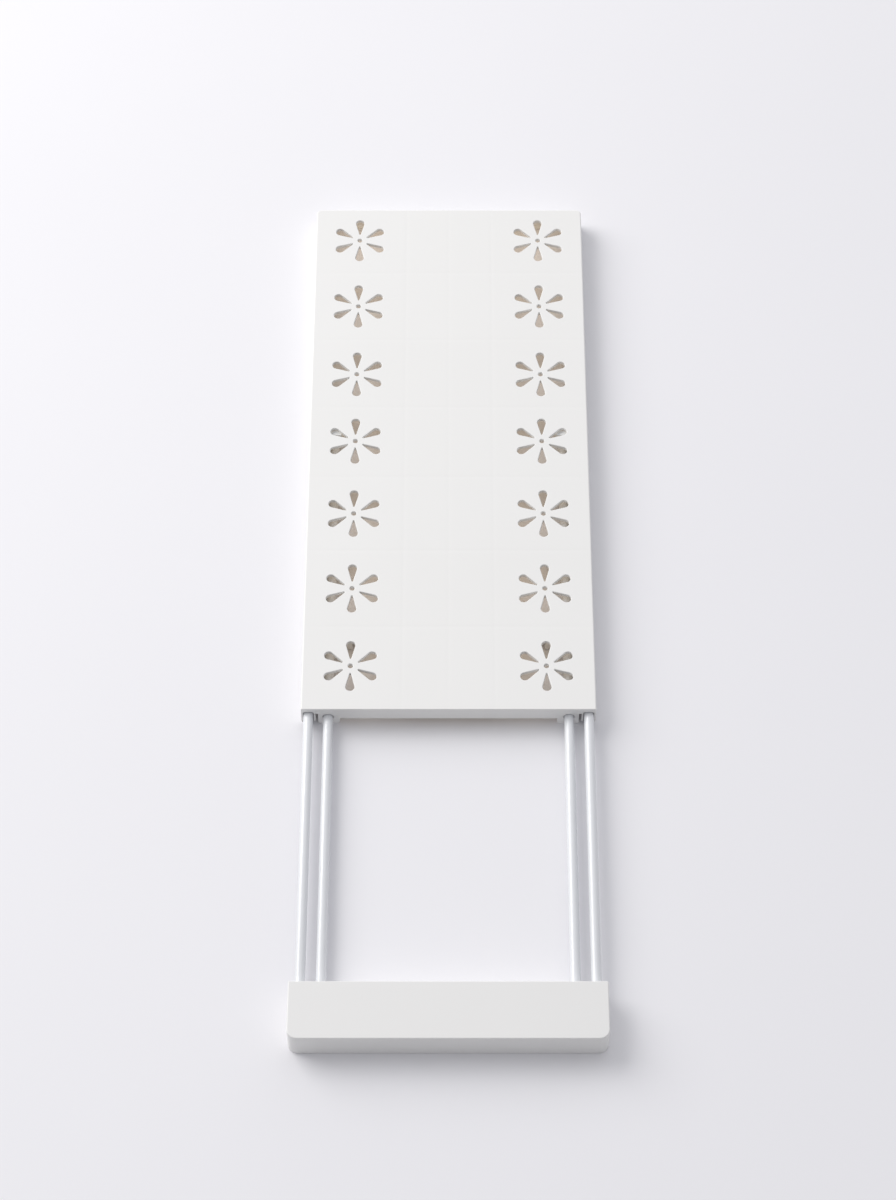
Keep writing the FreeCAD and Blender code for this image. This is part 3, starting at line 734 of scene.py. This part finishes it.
def hexagon_nut(name, cad_node):
    """Nut: across its thickness the radius is the hexagon's, half the flats over the cosine of the angle
    from the nearest flat, but no more than a cone that starts just outside the flats at each face."""
    low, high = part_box(cad_node)
    middle = (low + high) / 2
    thickness = high.x - low.x
    angle = np.linspace(0, 2 * math.pi, 145)
    flat_turn = (angle + math.pi / 6) % (math.pi / 3) - math.pi / 6
    hexagon = nut_flats / 2 / np.cos(flat_turn)
    x = np.concatenate([[0, 0], np.linspace(0, 1, 13), [1, 1]]) * thickness
    cone = nut_flats / 2 * 0.97 + nut_cone_slope * np.minimum(x, thickness - x)
    radius = np.minimum(hexagon, cone[:, None])
    radius[[0, -1]] = nut_bore_radius
    radius[[1, -2]] = nut_flats / 2 * 0.9
    grid = turned_on_x((low.x, middle.y, middle.z), 1, x[:, None], radius, angle)
    return skin(name, np.concatenate([grid, grid[:1]]), 25)


def shoe_height(tree, place):
    """Rubber's faint cut lines across the shoe."""
    lines = node(tree, "TexWave", {"Vector": place, "Scale": 260.0, "Distortion": 1.5, "Detail": 2.0},
                 bands_direction="Z")
    return node(tree, "Math", {0: lines.outputs["Fac"], 1: 1.2e-5}, operation="MULTIPLY").outputs[0]


def shoe_material():
    """Dark rubber: dull, with a dusty bloom in patches."""
    rubber = bpy.data.materials.new("shoe_rubber")
    rubber.use_nodes = True
    tree = rubber.node_tree
    place = node(tree, "TexCoord").outputs["Object"]
    bloom = node(tree, "TexNoise", {"Vector": place, "Scale": 320.0, "Detail": 5.0, "Roughness": 0.7})
    edge = use(tree, edge_rub, {"Place": place, "Radius": 0.0005})["Edge"]
    tone = node(tree, "Mix", {0: bloom.outputs["Fac"]}, data_type="RGBA")
    tone.inputs["A"].default_value = (0.045, 0.045, 0.048, 1)
    tone.inputs["B"].default_value = (0.10, 0.10, 0.102, 1)
    worn = node(tree, "Mix", {0: edge, "A": tone.outputs["Result"]}, data_type="RGBA")
    worn.inputs["B"].default_value = (0.15, 0.15, 0.15, 1)
    rough = node(tree, "MapRange", {"Value": bloom.outputs["Fac"], "To Min": 0.62, "To Max": 0.9})
    bump = node(tree, "Bump", {"Height": shoe_height(tree, place), "Distance": 1.0, "Strength": 1.0})
    shader = tree.nodes["Principled BSDF"]
    tree.links.new(worn.outputs["Result"], shader.inputs["Base Color"])
    tree.links.new(rough.outputs["Result"], shader.inputs["Roughness"])
    tree.links.new(bump.outputs["Normal"], shader.inputs["Normal"])
    return rubber


knob_plastic = white_plastic("knob_plastic", (0.84, 0.84, 0.83), (0.81, 0.81, 0.795), 0.38, 3e-6)
nut_zinc = zinc_material("nut_zinc", (0.63, 0.63, 0.65))
shoe_rubber = shoe_material()
for side in ("left", "right"):
    low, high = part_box(f"{side}_lock_knob")
    outward = 1 if side == "right" else -1
    line = (low.x if outward > 0 else high.x, (low.y + high.y) / 2, (low.z + high.z) / 2)
    reach = high.x - low.x
    place_piece(
        knob_grip(f"{side}_lock_knob_grip", line, outward, (high.y - low.y) / 2), f"{side}_knob",
        "knob_plastic", knob_plastic, f"{side}_lock_knob",
    )
    place_piece(
        threaded_stem(f"{side}_lock_stem", line, outward, knob_length / 2, reach - stem_tip_length, reach),
        f"{side}_knob", "nut_steel", nut_zinc,
    )
    place_piece(
        hexagon_nut(f"{side}_lock_nut_hexagon", f"{side}_lock_nut"), "board", "nut_steel", nut_zinc,
        f"{side}_lock_nut",
    )
    shoe = place_piece(
        rounded_moulding(f"{side}_lock_shoe_block", f"{side}_lock_shoe"), f"{side}_shoe",
        "shoe_rubber", shoe_rubber, f"{side}_lock_shoe",
    )
    round_edges(shoe, shoe_rounding)


# ---------------------------------------------------------------- end cap and its cover
# A deeper white moulding pushed over the four rods and screwed to them from below; a flat
# cover with a coarser grain is let into its underside and closes it.
cover_rounding = 0.00025

cap_plastic = white_plastic("cap_plastic", (0.825, 0.82, 0.81), (0.805, 0.80, 0.79), 0.42, 5e-6)
cover_plastic = white_plastic("cover_plastic", (0.84, 0.835, 0.82), (0.81, 0.805, 0.79), 0.52, 1.2e-5)
cap = place_piece(
    moulding("end_cap_skin", "end_cap_shell"), "slider", "cap_plastic", cap_plastic, "end_cap_shell",
)
even_shading(cap)
cover = place_piece(
    rounded_moulding("end_cap_cover_plate", "end_cap_cover"), "slider", "cover_plastic",
    cover_plastic, "end_cap_cover",
)
round_edges(cover, cover_rounding)
